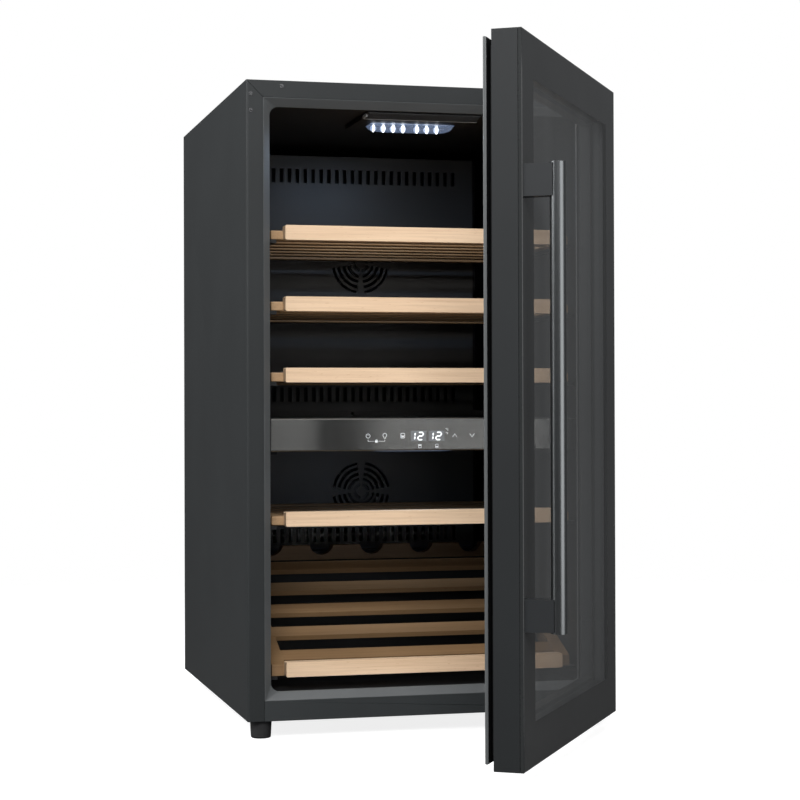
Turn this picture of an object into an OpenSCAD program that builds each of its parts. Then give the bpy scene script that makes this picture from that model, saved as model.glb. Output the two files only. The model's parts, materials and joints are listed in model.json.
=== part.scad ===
// Two-zone wine cooler with its glass door standing open on the right-hand hinges.
// The origin is on the floor under the middle of the cabinet, door not counted.
// +X is to the right, -Y out of the front, +Z up. Pieces are drawn in cabinet coordinates first,
// with y = 0 on the cabinet's front face, and the door's pieces as if the door were shut.

/* [Cabinet] */
// Width of the cabinet
body_w = 485; // [475:1:495]
// Height of the cabinet above its feet
body_h = 822; // [818:1:830]
// Depth of the cabinet without the door
body_d = 560; // [550:1:575]
// Height of the feet
foot_h = 23; // [20:0.5:26]
// Thickness of the outer sheet metal
skin = 1; // [0.8:0.1:1.2]
// Width of the front flange of the side and top panels
flange_w = 22; // [21:0.5:23]
// Height of the rail under the door opening
rail_h = 26; // [24:1:28]
// Width of the bevelled plastic trim between the flange and the cavity
trim_w = 10.5; // [9:0.5:12]
// Depth of the trim
trim_d = 14; // [12:1:16]

/* [Cavity] */
// Depth of the cavity's back wall behind the cabinet front
cavity_d = 500; // [495:1:505]
// Corner radius of the cavity
cavity_r = 11; // [8:1:14]
// Thickness of the liner
liner_t = 2; // [1.5:0.1:2.5]
// Height of the step over the machine compartment
step_z = 215; // [213:1:217]
// Depth at which the step begins
step_y = 352; // [350:1:356]
// Front of the evaporator covers
cover_y = 395; // [393:1:397]

/* [Divider] */
// Underside of the divider between the two zones
divider_z = 368; // [366:1:370]
// Thickness of the divider
divider_h = 42.5; // [41:0.5:44]

/* [Shelves] */
// Height of the undersides of the four sliding shelves, from the top down
shelf_z = [642.5, 550, 457.5, 270.5];
// Height of the underside of the display shelf
display_z = 76; // [75:1:80]
// Height of a shelf's wooden front
fascia_h = 19; // [18:0.5:20]
// Thickness of a shelf's wooden front
fascia_t = 18; // [16:1:20]
// Width of a shelf's wooden front
fascia_w = 376; // [370:1:378]
// Depth of the shelf fronts behind the cabinet front
fascia_y = 20; // [20:1:24]
// Width over the side rails of a shelf
frame_w = 408; // [406:1:410]
// Height of the side rails
frame_h = 12; // [11:0.5:12.5]

/* [Door] */
// Width of the door
door_w = 480; // [476:1:482]
// Height of the door's underside
door_z = 22; // [22:0.5:24]
// Height of the door
door_h = 819.5; // [815:0.5:819.5]
// Thickness of the outer glass
glass_t = 5; // [4:1:6]
// Depth of the frame behind the outer glass
frame_d = 30; // [29:1:31]
// Width of the frame around the window
border = 50; // [48:1:52]
// Gap between the closed door's frame and the cabinet
door_gap = 13; // [13:0.5:14]
// Angle that the door stands open
door_open = 57.5; // [0:0.5:90]

/* [Handle] */
// Diameter of the handle bar
bar_d = 18; // [16:1:18]
// Length of the handle bar
bar_l = 518; // [500:1:530]
// Height of the middle of the handle bar
bar_z = 434; // [425:1:440]
// Distance from the glass to the middle of the bar
bar_out = 37.3; // [36:0.1:40]
// Height of a handle stand-off
standoff_h = 36; // [30:1:40]

/* [Hidden] */

$fn = 48;
e = 0.01;

// Cabinet levels and half widths
hw = body_w / 2;
top_z = foot_h + body_h;
rail_z = foot_h + rail_h;
trim_x = hw - flange_w;
trim_z1 = top_z - flange_w;
cav_x = trim_x - trim_w;
cav_z0 = rail_z + trim_w;
cav_z1 = trim_z1 - trim_w;
bevel = trim_w - 1.5;
bevel_d = 12;
edge_r = 3;
return_w = 15;
pan_t = 1.5;
rail_w = 18;

// Machine compartment behind and under the step
machine_y = 380;
machine_z = 188;
divider_top = divider_z + divider_h;
divider_y = 18;

// Hinge axis, in cabinet coordinates with the door closed
hinge_x = door_w / 2 - 15;
hinge_y = -33;
pin_r = 4;
pin_bore_r = 4.05;
bush_r = 7;
arm_t = 3;
arm_r = 10;
door_top = door_z + door_h;
door_back = -door_gap;
glass_back = door_back - frame_d;
glass_front = glass_back - glass_t;
lip_inset = 6.5;
lip_y = -1.2;

// Screws in the front flange: [x, z, y of the seat]
hinge_screws = [
    [236.8, 827, -3], [236.8, 805.7, -3], [196.3, 838, -3],
    [236.8, 60, -3], [236.8, 40, -3], [196.3, 25.6, -3],
];
spare_screws = [[-236.8, 827, 0], [-236.8, 805.7, 0], [-196.3, 838, 0]];
screw_r = 1.6;
screw_head_r = 2.6;
screw_head_h = 1.5;
screw_l = 8;

// Front feet
foot_x = 222;
foot_y = 20;
stud_r = 4;

// Lamps: a housing on the ceiling and a second light set into the divider
lamp_w = 157;
lamp_y0 = 18;
lamp_ramp_y = 45;
lamp_y1 = 150;
lamp_h = 6;
lens_w = 116;
lens_y0 = 78;
lens_y1 = 122;
lens_h = 9;
divider_lens_h = 5.5;
led_pitch = 13.8;
led_x = [for (i = [-3.7, -2.7, -1.7, -0.7, 0.7, 1.7, 2.7]) led_pitch * i];

// Fans
fan_size = 92;
fan_t = 25;
fan_bore_r = 43.5;
cover_t = 2.5;
fan_y = cover_y + cover_t;
fan_upper_z = 640;
fan_lower_z = 300;
condenser_fan = [-50, 465, 100];

// Compressor
comp_x = 130;
comp_y = 470;
comp_r = 60;
comp_z = 37;
comp_h = 133;

// Condenser: ends and rows of its tubes, lowest tube, distance between tubes and tube radius
cond_x0 = -200;
cond_x1 = -75;
cond_y = [440, 490];
cond_z = 50;
cond_pitch = 25;
cond_r = 4;
dryer_x = 20;
dryer_y = 405;

// Handle
bar_x = -(door_w / 2 - 11);
bar_y = glass_front - bar_out;
standoff_z = [bar_z - bar_l / 2 + 1.6, bar_z + bar_l / 2 - 1.6 - standoff_h];

shelf_back_y = 384;
display_rise = 137;
display_y1 = 348;

black = [0.14, 0.15, 0.16];
liner_black = [0.05, 0.05, 0.055];
charcoal = [0.26, 0.27, 0.28];
beech = [0.88, 0.76, 0.63];
steel = [0.62, 0.63, 0.65];
copper = [0.72, 0.43, 0.26];

// ---------- shared shapes ----------

// Moves a piece from cabinet coordinates into the part's frame
module cabinet() translate([0, -body_d / 2, 0]) children();

// Swings a piece drawn on the closed door to the angle at which the door stands open
module door() cabinet() translate([hinge_x, hinge_y, 0]) rotate([0, 0, door_open])
    translate([-hinge_x, -hinge_y, 0]) children();

// Box between its lowest and highest corners
module span(a, b) translate(a) cube(b - a);

// Draws its children and their mirror image across the centre plane
module both_sides() {
    children();
    mirror([1, 0, 0]) children();
}

// Rectangle with round corners
module round_rect(x0, x1, y0, y1, r) {
    translate([x0 + r, y0]) square([x1 - x0 - 2 * r, y1 - y0]);
    translate([x0, y0 + r]) square([x1 - x0, y1 - y0 - 2 * r]);
    for (x = [x0 + r, x1 - r], y = [y0 + r, y1 - r]) translate([x, y]) circle(r);
}

// Outline in the XZ plane, carried along Y from y0 to y1
module upright(y0, y1) translate([0, y1, 0]) rotate([90, 0, 0]) linear_extrude(y1 - y0) children();

// Outline in the YZ plane, carried along X from x0 to x1
module sideways(x0, x1) translate([x0, 0, 0]) rotate([90, 0, 90]) linear_extrude(x1 - x0) children();

// Cylinder along Y from y0 to y1
module rod_y(x, z, r, y0, y1) translate([x, y1, z]) rotate([90, 0, 0]) cylinder(h = y1 - y0, r = r);

// Cylinder along X from x0 to x1
module rod_x(y, z, r, x0, x1) translate([x0, y, z]) rotate([0, 90, 0]) cylinder(h = x1 - x0, r = r);

// Plan outline of the cabinet, set in from its outer faces
module cabinet_plan(inset) round_rect(-hw + inset, hw - inset, inset, body_d - inset, edge_r - inset);

// Holes for the flange screws
module screw_holes(screws, r) for (s = screws) rod_y(s[0], s[1], r, -10, screw_l + 1);

// ---------- cabinet shell ----------

module side_panel() difference() {
    translate([0, 0, foot_h]) linear_extrude(body_h - skin) intersection() {
        difference() {
            cabinet_plan(0);
            cabinet_plan(skin);
        }
        union() {
            translate([-hw - 1, -1]) square([flange_w + 1, body_d / 2]);
            translate([-hw - 1, body_d / 2 - 2]) square([return_w + 1, body_d]);
        }
    }
    upright(-1, skin) polygon([
        [-hw - 1, top_z + 1], [-trim_x + 1, trim_z1 - 1], [-trim_x + 1, top_z + 1],
    ]);
}

module side_panel_left() cabinet() color(charcoal) difference() {
    side_panel();
    screw_holes(spare_screws, screw_r);
}

module side_panel_right() cabinet() color(charcoal) difference() {
    mirror([1, 0, 0]) side_panel();
    screw_holes(hinge_screws, screw_r);
}

module top_panel() cabinet() color(charcoal) difference() {
    intersection() {
        linear_extrude(top_z) cabinet_plan(0);
        union() {
            span([-hw, 0, top_z - skin], [hw, body_d, top_z]);
            upright(0, skin) polygon([
                [-hw, top_z], [hw, top_z], [trim_x, trim_z1], [-trim_x, trim_z1],
            ]);
        }
    }
    screw_holes(concat(hinge_screws, spare_screws), screw_r);
}

// Sheet that closes the back, above the machine compartment
module back_panel() cabinet() color(steel) intersection() {
    linear_extrude(top_z) cabinet_plan(skin);
    span([-hw, body_d - 2 * skin, machine_z], [hw, body_d - skin, top_z - skin]);
}

module bottom_rail() cabinet() color(charcoal) difference() {
    span([-trim_x, 0, foot_h], [trim_x, skin, rail_z]);
    screw_holes(hinge_screws, screw_r);
}

// Floor sheet with raised edges in the machine compartment and a weld nut for each front foot
module base_pan() cabinet() color(steel) difference() {
    union() {
        intersection() {
            translate([0, 0, foot_h]) linear_extrude(pan_t) cabinet_plan(skin);
            span([-hw, skin, foot_h], [hw, body_d - 2 * skin, foot_h + pan_t]);
        }
        both_sides() {
            span([-hw + skin, machine_y + 2, foot_h], [-hw + 2 * skin, body_d - 5, foot_h + 16]);
            translate([-foot_x, foot_y, foot_h]) cylinder(h = 17, r = 7);
        }
    }
    both_sides() translate([-foot_x, foot_y, foot_h - 1]) cylinder(h = 20, r = stud_r + 0.05);
    // Notches for the hinge screws
    both_sides() span([-200.3, 0, foot_h - 1], [-192.3, screw_l + 2, foot_h + pan_t + 1]);
}

module machine_bulkhead() cabinet() color(steel) {
    span([-hw + skin, machine_y, machine_z - skin], [hw - skin, body_d - 2 * skin, machine_z]);
    span([-hw + skin, machine_y, foot_h + pan_t], [hw - skin, machine_y + skin, machine_z - skin]);
}

// Louvred sheet that closes the machine compartment at the back
module rear_cover() cabinet() color(black) difference() {
    span([-hw + edge_r + 1, body_d - 2 * skin, foot_h + pan_t],
        [hw - edge_r - 1, body_d - skin, machine_z - 0.5]);
    for (x = [-120, 30, 140], i = [0 : 7])
        span([x - 50, body_d - 5, 60 + 15 * i], [x + 50, body_d + 1, 66 + 15 * i]);
    span([-205, body_d - 5, 30], [-155, body_d + 1, 56]);
}

// ---------- cavity ----------

// The cavity's front outline, grown on all sides and carried from y0 to y1
module cavity_outline(grow, y0, y1) upright(y0, y1)
    round_rect(-cav_x - grow, cav_x + grow, cav_z0 - grow, cav_z1 + grow, cavity_r + grow);

// The cavity's volume less the step at the back
module cavity_block(grow, y0, y1) difference() {
    cavity_outline(grow, y0, y1);
    span([-hw, step_y + grow, 0], [hw, body_d, step_z - grow]);
}

// Foam between the outer sheets and the liner
module insulation() cabinet() color([0.93, 0.88, 0.7]) difference() {
    intersection() {
        linear_extrude(top_z) cabinet_plan(skin);
        span([-hw, skin, foot_h + pan_t], [hw, body_d - 2 * skin, top_z - skin]);
    }
    cavity_block(liner_t, trim_d, cavity_d + liner_t);
    span([-trim_x, 0, rail_z], [trim_x, trim_d, trim_z1]);
    span([-hw, machine_y, 0], [hw, body_d, machine_z]);
    both_sides() translate([-foot_x, foot_y, 0]) cylinder(h = foot_h + 18, r = 7.2);
    screw_holes(concat(hinge_screws, spare_screws), screw_r + 0.2);
}

// One shelf ledge on the left wall, with the guide above it that stops the shelf tipping
module ledge(z) {
    span([-cav_x - 1, 30, z - 4], [-frame_w / 2 + 6, shelf_back_y, z + 0.8]);
    span([-cav_x - 1, 200, z + frame_h + 1.4], [-frame_w / 2 + 6, shelf_back_y, z + frame_h + 5]);
}

module inner_liner() cabinet() color(liner_black) {
    difference() {
        cavity_block(liner_t, trim_d, cavity_d + liner_t);
        cavity_block(0, trim_d - 1, cavity_d);
    }
    both_sides() {
        for (z = shelf_z) ledge(z);
        span([-cav_x - 1, 30, divider_z - 4], [-frame_w / 2 + 6, cover_y - 5, divider_z]);
        span([-cav_x - 1, 30, display_z - 4], [-frame_w / 2 + 6, 70, display_z]);
        span([-cav_x - 1, display_y1 - 18, display_z + display_rise - 22],
            [-frame_w / 2 + 6, step_y + 1, display_z + display_rise - 18]);
    }
}

// Bevelled frame that joins the flange to the cavity
module liner_trim() cabinet() color(charcoal) difference() {
    span([-trim_x, 0, rail_z], [trim_x, trim_d, trim_z1]);
    cavity_outline(0, bevel_d - 1, trim_d + 1);
    hull() {
        cavity_outline(bevel * (1 + 1 / bevel_d), -1, e - 1, $fn = 32);
        cavity_outline(0, bevel_d, bevel_d + e, $fn = 32);
    }
}

// ---------- divider and controls ----------

// Hollow shelf-like wall between the zones, open where it meets the cavity's back
module divider(wall = 3) cabinet() color(liner_black) difference() {
    span([-cav_x, divider_y, divider_z], [cav_x, cavity_d, divider_top]);
    difference() {
        span([wall - cav_x, divider_y + 20, divider_z + wall],
            [cav_x - wall, cavity_d + 1, divider_top - wall]);
        span([-lens_w / 2 - wall, lens_y0 - wall, divider_z],
            [lens_w / 2 + wall, lens_y1 + wall, divider_z + 11]);
    }
    // pocket behind the control panel
    span([-110, divider_y - 1, divider_z + 5], [110, divider_y + 16, divider_top - 5]);
    // recess for the lower light
    span([-lens_w / 2, lens_y0, divider_z - 1], [lens_w / 2, lens_y1, divider_z + 8]);
}

// Glossy front of the divider with bevelled long edges
module control_panel() cabinet() color(black) sideways(-cav_x + 1, cav_x - 1) polygon([
    [divider_y, divider_z], [divider_y - 3.5, divider_z], [divider_y - 5, divider_z + 1.5],
    [divider_y - 5, divider_top - 1.5], [divider_y - 3.5, divider_top], [divider_y, divider_top],
]);

module control_board() cabinet() {
    color("darkgreen") span([-95, divider_y + 8, divider_z + 7], [90, divider_y + 9.6, divider_top - 7]);
    color(black) span([-28, divider_y + 0.3, divider_z + 9], [28, divider_y + 8, divider_z + 30]);
    color(black) for (x = [-81, -69, -58, 37, 61])
        translate([x, divider_y + 8, divider_z + 20]) rotate([90, 0, 0]) cylinder(h = 7.5, r = 4);
    color(steel) span([-90, divider_y + 9.6, divider_z + 12], [-60, divider_y + 15, divider_z + 26]);
}

// ---------- lights ----------

// Housing under the ceiling, with a ramp towards the door
module lamp_housing() cabinet() color(black) difference() {
    sideways(-lamp_w / 2, lamp_w / 2) polygon([
        [lamp_y0, cav_z1], [lamp_y0, cav_z1 - 1.5], [lamp_ramp_y, cav_z1 - lamp_h],
        [lamp_y1, cav_z1 - lamp_h], [lamp_y1, cav_z1],
    ]);
    span([-lens_w / 2, lens_y0, cav_z1 - lamp_h - 1], [lens_w / 2, lens_y1, cav_z1 - 1]);
}

// Circuit board with its row of LEDs, hanging under the height z
module lamp_board(z) {
    color("white") span([-lens_w / 2 + 3, lens_y0 + 10, z - 1.6], [lens_w / 2 - 3, lens_y1 - 10, z]);
    color("ghostwhite") for (x = led_x)
        span([x - 2.5, 97, z - 3.2], [x + 2.5, 103, z - 1.6]);
}

module lamp_boards() cabinet() {
    lamp_board(cav_z1 - 1);
    lamp_board(divider_z + 8);
}

// Front view of a lamp cover: sloping ends below, and a collar that plugs into the recess above
module lens_section(x, collar, drop) polygon([
    [-x, collar], [-x, 0], [7 - x, -drop], [x - 7, -drop], [x, 0], [x, collar],
]);

// Clear cover below the height z: a shallow boat with thin walls
module lamp_lens(z, drop, wall = 1.5) translate([0, 0, z]) difference() {
    upright(lens_y0, lens_y1) lens_section(lens_w / 2, 3, drop);
    upright(lens_y0 + wall, lens_y1 - wall) lens_section(lens_w / 2 - wall, 4, drop - wall);
}

module lamp_lenses() cabinet() color([0.85, 0.9, 1, 0.5]) {
    lamp_lens(cav_z1 - lamp_h, lens_h);
    lamp_lens(divider_z, divider_lens_h);
}

// ---------- cold air: covers, evaporators and fans ----------

// Tray-shaped cover in front of an evaporator, open to the liner's back wall
module evaporator_cover(z0, z1, fan_z, slot_rows) difference() {
    span([-175, cover_y, z0], [175, cavity_d, z1]);
    span([cover_t - 175, cover_y + cover_t, z0 + cover_t], [175 - cover_t, cavity_d + 1, z1 - cover_t]);
    for (z = slot_rows, i = [-12 : 12])
        span([12 * i - 2.75, cover_y - 1, z], [12 * i + 2.75, cover_y + 3, z + 21]);
    for (r = [10 : 8 : 42]) fan_grille_ring(fan_z, r);
}

// One ring of the fan grille, in four arcs
module fan_grille_ring(z, r) translate([0, cover_y + 3, z]) rotate([90, 0, 0])
    for (a = [0 : 90 : 270]) rotate([0, 0, a + 8]) rotate_extrude(angle = 74)
        translate([r - 2.2, 0]) square([4.4, 5]);

module evaporator_cover_upper() cabinet() color(liner_black) difference() {
    union() {
        evaporator_cover(divider_top, 800, fan_upper_z, [divider_top + 24, 760]);
        span([-205, cover_y - 7, divider_top], [205, cover_y, divider_top + 10.5]);
    }
    rod_y(-15, divider_top + 5.5, 2.5, cover_y - 8, cover_y + 3);
}

module evaporator_cover_lower() cabinet() color(liner_black)
    evaporator_cover(step_z, divider_z, fan_lower_z, [step_z + 10]);

// Finned evaporator: aluminium plates on six tubes between two end brackets
module evaporator(z) {
    for (i = [-12 : 12]) span([11 * i - 0.4, 432, z], [11 * i + 0.4, 486, z + 90]);
    for (y = [445, 473], dz = [15, 45, 75]) rod_x(y, z + dz, 4, -144, 144);
    both_sides() span([-146, 432, z], [-144, cavity_d, z + 90]);
}

module evaporators() cabinet() color(steel) {
    evaporator(500);
    evaporator(step_z + 3);
}

// Square fan frame around the Z axis, with its motor post on spokes at the back
module fan_frame() {
    half = fan_size / 2;
    difference() {
        translate([-half, -half, 0]) cube([fan_size, fan_size, fan_t]);
        translate([0, 0, -1]) cylinder(h = fan_t + 2, r = fan_bore_r);
        for (x = [-1, 1], y = [-1, 1]) translate([x * 41.25, y * 41.25, -1]) cylinder(h = 27, r = 2.2);
    }
    translate([0, 0, fan_t - 4]) cylinder(h = 4, r = 17);
    for (a = [45 : 90 : 315]) rotate([0, 0, a]) translate([15, -2, fan_t - 3]) cube([half - 14, 4, 3]);
    translate([0, 0, 9]) cylinder(h = fan_t - 12, r = 2);
}

// Seven-bladed rotor around the Z axis, with a blind bore for the motor post
module fan_rotor() difference() {
    union() {
        translate([0, 0, 1]) cylinder(h = 19, r = 18);
        for (i = [0 : 6]) rotate([0, 0, 360 / 7 * i]) translate([16, 0, 10.5]) rotate([38, 0, 0])
            translate([0, -11, -0.8]) cube([25.5, 22, 1.6]);
    }
    translate([0, 0, 8]) cylinder(h = 13, r = 2.05);
}

// Places of the three fans: the first two blow forwards, the last one sideways
module at_fan_upper() cabinet() translate([0, fan_y, fan_upper_z]) rotate([-90, 0, 0]) children();
module at_fan_lower() cabinet() translate([0, fan_y, fan_lower_z]) rotate([-90, 0, 0]) children();
module at_fan_condenser() cabinet() translate(condenser_fan) rotate([0, 90, 0]) children();

// The three fan frames; the condenser's fan has a stand under it
module fan_frames() color(black) {
    at_fan_upper() fan_frame();
    at_fan_lower() fan_frame();
    at_fan_condenser() fan_frame();
    cabinet() translate(condenser_fan) translate([4, -35, foot_h + pan_t - condenser_fan[2]])
        cube([17, 70, condenser_fan[2] - fan_size / 2 - foot_h - pan_t + 1]);
}

module fan_rotor_upper() color(charcoal) at_fan_upper() fan_rotor();
module fan_rotor_lower() color(charcoal) at_fan_lower() fan_rotor();
module fan_rotor_condenser() color(charcoal) at_fan_condenser() fan_rotor();

module temperature_sensors() cabinet() color("white") for (z = [720, 330]) {
    span([cav_x - 10, 285, z - 6], [cav_x, 315, z + 6]);
}

// ---------- shelves ----------

module shelf_front(z) cabinet() color(beech) upright(fascia_y, fascia_y + fascia_t)
    round_rect(-fascia_w / 2, fascia_w / 2, z, z + fascia_h, 2);

// Side rails with cross slats let into them
module shelf_frame(z) cabinet() color(beech) {
    y0 = fascia_y + fascia_t;
    half = frame_w / 2;
    inside = half - rail_w;
    both_sides() span([-half, y0, z + 1], [-inside, shelf_back_y, z + 1 + frame_h]);
    for (y = [75, 125, 175, 225, 275, 325]) span([-inside, y, z + 3], [inside, y + 22, z + 11]);
    span([-inside, shelf_back_y - 14, z + 1], [inside, shelf_back_y, z + 1 + frame_h]);
    span([-inside, y0, z + 1], [inside, y0 + 8, z + 1 + frame_h]);
}

module shelf_1_front() shelf_front(shelf_z[0]);
module shelf_1_frame() shelf_frame(shelf_z[0]);
module shelf_2_front() shelf_front(shelf_z[1]);
module shelf_2_frame() shelf_frame(shelf_z[1]);
module shelf_3_front() shelf_front(shelf_z[2]);
module shelf_3_frame() shelf_frame(shelf_z[2]);
module shelf_4_front() shelf_front(shelf_z[3]);
module shelf_4_frame() shelf_frame(shelf_z[3]);

module display_shelf_front() shelf_front(display_z);

// Sloping shelf: two side boards, slats along the slope and a notched rail for the bottle necks
module display_shelf_frame() cabinet() color(beech) {
    y0 = fascia_y + fascia_t;
    y1 = display_y1;
    z1 = display_z + display_rise;
    half = frame_w / 2;
    slope = atan((display_rise + 2) / (y1 - 10 - y0));
    both_sides() sideways(-half, -half + rail_w) polygon([
        [y0, display_z], [y0 + 22, display_z], [y1 - 18, z1 - 18], [y1, z1 - 18],
        [y1, z1], [y1 - 8, z1], [y0, display_z + 14],
    ]);
    for (i = [0 : 4]) translate([0, y0 + 14 + 54 * i, display_z + 14 + (14 + 54 * i) * tan(slope)])
        rotate([slope, 0, 0]) translate([-half + 6, 0, -9]) cube([frame_w - 12, 24, 7]);
    difference() {
        span([-half + 3, y1 - 18.5, z1 - 9], [half - 3, y1 - 1, z1 + 12]);
        for (i = [-2 : 2]) rod_y(75 * i, z1 + 16, 18, y1 - 20, y1 + 1);
    }
}

// ---------- machine compartment ----------

// Welded shell: a cylinder between two domes, with a weld seam, a base plate, a top boss that
// carries the drip tray, a terminal boss and two pipe stubs
module compressor() cabinet() color(black) {
    dome = 26;
    outline = concat(
        [[0, 0]], [for (a = [-90 : 10 : 0]) [comp_r * cos(a), dome + dome * sin(a)]],
        [for (a = [0 : 10 : 90]) [comp_r * cos(a), comp_h - dome + dome * sin(a)]], [[0, comp_h]]
    );
    difference() {
        union() {
            translate([comp_x, comp_y, comp_z]) {
                rotate_extrude() polygon(outline);
                translate([0, 0, comp_h * 0.62]) cylinder(h = 4, r = comp_r + 3);
                translate([0, 0, comp_h - 4]) cylinder(h = 4, r = 16);
            }
            rod_x(comp_y, comp_z + 50, 12, comp_x + comp_r - 10, comp_x + comp_r + 4);
            span([comp_x - 84, comp_y - 58, comp_z], [comp_x + 84, comp_y + 58, comp_z + 3]);
            rod_y(comp_x - 25, comp_z + 95, 3, comp_y - 80, comp_y);
            rod_y(comp_x + 25, comp_z + 45, 4, comp_y - 80, comp_y);
        }
        for (x = [-1, 1], y = [-1, 1])
            translate([comp_x + 72 * x, comp_y + 46 * y, comp_z - 1]) cylinder(h = 5, r = 5);
    }
}

// Rubber grommets and bolts under the compressor's feet
module compressor_mounts() cabinet() color(liner_black) for (x = [-1, 1], y = [-1, 1])
    translate([comp_x + 72 * x, comp_y + 46 * y, foot_h + pan_t]) {
        cylinder(h = comp_z - foot_h - pan_t, r = 9);
        cylinder(h = comp_z - foot_h - pan_t + 3, r = 4.9);
        translate([0, 0, comp_z - foot_h - pan_t + 3]) cylinder(h = 4, r = 8);
    }

module starter_box() cabinet() color(black)
    span([comp_x + comp_r + 4, comp_y - 25, comp_z + 25], [comp_x + comp_r + 34, comp_y + 25, comp_z + 75]);

// Finned condenser: two serpentine tubes through fins, joined at the lower left,
// between two end plates that stand on the floor sheet
module condenser() cabinet() color(black) {
    for (i = [0 : 17]) span([cond_x0 + 10 + 6 * i, 415, 36], [cond_x0 + 10.6 + 6 * i, 515, 166]);
    for (y = cond_y, k = [0 : 4]) rod_x(y, cond_z + cond_pitch * k, cond_r, cond_x0, cond_x1);
    for (y = cond_y, k = [0 : 3]) translate([0, y, cond_z + cond_pitch * (k + 0.5)])
        return_bend(k % 2 == 0 ? cond_x1 : cond_x0, k % 2 == 0 ? 1 : -1, cond_pitch / 2);
    translate([0, (cond_y[0] + cond_y[1]) / 2, cond_z]) rotate([90, 0, 0])
        return_bend(cond_x0, -1, (cond_y[1] - cond_y[0]) / 2);
    for (x = [cond_x0 + 4, cond_x1 - 6]) span([x, 412, foot_h + pan_t], [x + 2, 518, 170]);
}

// Half ring of tube in the XZ plane at x, bulging towards side = 1 or -1
module return_bend(x, side, r) translate([x, 0, 0]) rotate([90, 0, 0]) rotate([0, 0, -90 * side])
    rotate_extrude(angle = 180) translate([r, 0]) circle(cond_r);

module filter_dryer() cabinet() color(copper) translate([dryer_x, dryer_y, 0]) {
    translate([0, 0, 60]) cylinder(h = 90, r = 9);
    translate([0, 0, 50]) cylinder(h = 10, r = 4);
    translate([0, 0, 150]) cylinder(h = 8, r = 3);
}

// Copper pipe through a list of points
module pipe(points, r) {
    for (i = [0 : len(points) - 2]) {
        d = points[i + 1] - points[i];
        l = norm(d);
        translate(points[i]) rotate([0, acos(d[2] / l), atan2(d[1], d[0])]) cylinder(h = l, r = r);
    }
    for (i = [1 : len(points) - 2]) translate(points[i]) sphere(r);
}

module refrigerant_pipes() cabinet() color(copper) {
    top = cond_z + 4 * cond_pitch;
    front = comp_y - 84;
    // discharge: compressor to condenser
    pipe([[comp_x - 25, front + 4, comp_z + 95], [comp_x - 25, front, comp_z + 95],
        [comp_x - 25, front, 176], [cond_x1 + 10, front, 176], [cond_x1 + 10, cond_y[0], 176],
        [cond_x1 + 10, cond_y[0], top], [cond_x1, cond_y[0], top]], 3);
    // liquid line: condenser to filter dryer
    pipe([[cond_x1, cond_y[1], top], [cond_x1 + 9, cond_y[1], top], [cond_x1 + 9, cond_y[1], 164],
        [dryer_x, cond_y[1], 164], [dryer_x, dryer_y, 164], [dryer_x, dryer_y, 158]], 3);
    // suction: cold side to compressor
    pipe([[comp_x + 25, front + 4, comp_z + 45], [comp_x + 25, front, comp_z + 45],
        [comp_x + 25, front, machine_z - skin]], 4);
    // capillary: dryer up to the cold side
    pipe([[dryer_x, dryer_y, 50], [dryer_x, dryer_y, 42], [dryer_x + 20, dryer_y, 42],
        [dryer_x + 20, dryer_y, machine_z - skin]], 1.5);
}

// Shallow tray on the compressor that dries off the melt water
module drip_tray() cabinet() color(liner_black) difference() {
    span([comp_x - 55, comp_y - 50, comp_z + comp_h], [comp_x + 55, comp_y + 50, comp_z + comp_h + 12]);
    span([comp_x - 53, comp_y - 48, comp_z + comp_h + 2], [comp_x + 53, comp_y + 48, comp_z + comp_h + 13]);
}

// Appliance inlet in the rear cover, with three contact blades
module mains_inlet() cabinet() color(liner_black) {
    difference() {
        union() {
            span([-204, body_d - 26, 31], [-156, body_d - skin, 55]);
            span([-210, body_d - skin, 27], [-150, body_d, 59]);
        }
        span([-192, body_d - 20, 34], [-168, body_d + 1, 52]);
    }
    for (x = [-187, -180, -173]) span([x - 1, body_d - 21, 40], [x + 1, body_d - 6, 46]);
}

// ---------- feet ----------

// Levelling foot: a round pad on a threaded stud
module foot_front(x) cabinet() translate([x, foot_y, 0]) {
    color(black) rotate_extrude() polygon(concat(
        [[0, 0]], [for (a = [-90 : 15 : 0]) [10.5 + 2.5 * cos(a), 2.5 + 2.5 * sin(a)]],
        [[14, foot_h - 1.5], [13, foot_h - 0.5], [0, foot_h - 0.5]]
    ));
    color(steel) translate([0, 0, foot_h - 1]) cylinder(h = 17, r = stud_r);
}

module foot_front_left() foot_front(-foot_x);
module foot_front_right() foot_front(foot_x);

module rear_feet() cabinet() color(black) both_sides()
    translate([-195, body_d - 45, 0]) cylinder(h = foot_h, r1 = 12, r2 = 13);

// ---------- hinges ----------

// L-shaped plate on the front flange and the arm that carries the pin.
// leg_z: [foot, head] of the upright leg; level_z: [low, high] of the level leg; arm_z: the arm's underside
module hinge_bracket(leg_z, level_z, arm_z) difference() {
    union() {
        span([233.9, -3, leg_z[0]], [hw, 0, leg_z[1]]);
        span([186, -3, level_z[0]], [hw, 0, level_z[1]]);
        span([hinge_x - arm_r, hinge_y, arm_z], [hinge_x + arm_r, 0, arm_z + arm_t]);
        translate([hinge_x, hinge_y, arm_z]) cylinder(h = arm_t, r = arm_r);
        span([hinge_x - arm_r, -3, min(arm_z, level_z[0])],
            [hinge_x + arm_r, 0, max(arm_z + arm_t, level_z[1])]);
    }
    translate([hinge_x, hinge_y, arm_z - 1]) cylinder(h = arm_t + 2, r = pin_r);
    screw_holes(hinge_screws, screw_r);
}

module hinge_bracket_upper() cabinet() color(charcoal)
    hinge_bracket([795, top_z], [835.3, top_z], top_z - arm_t);
module hinge_bracket_lower() cabinet() color(charcoal)
    hinge_bracket([foot_h, 72], [foot_h, 28.2], door_z - 0.5 - arm_t);

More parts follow.
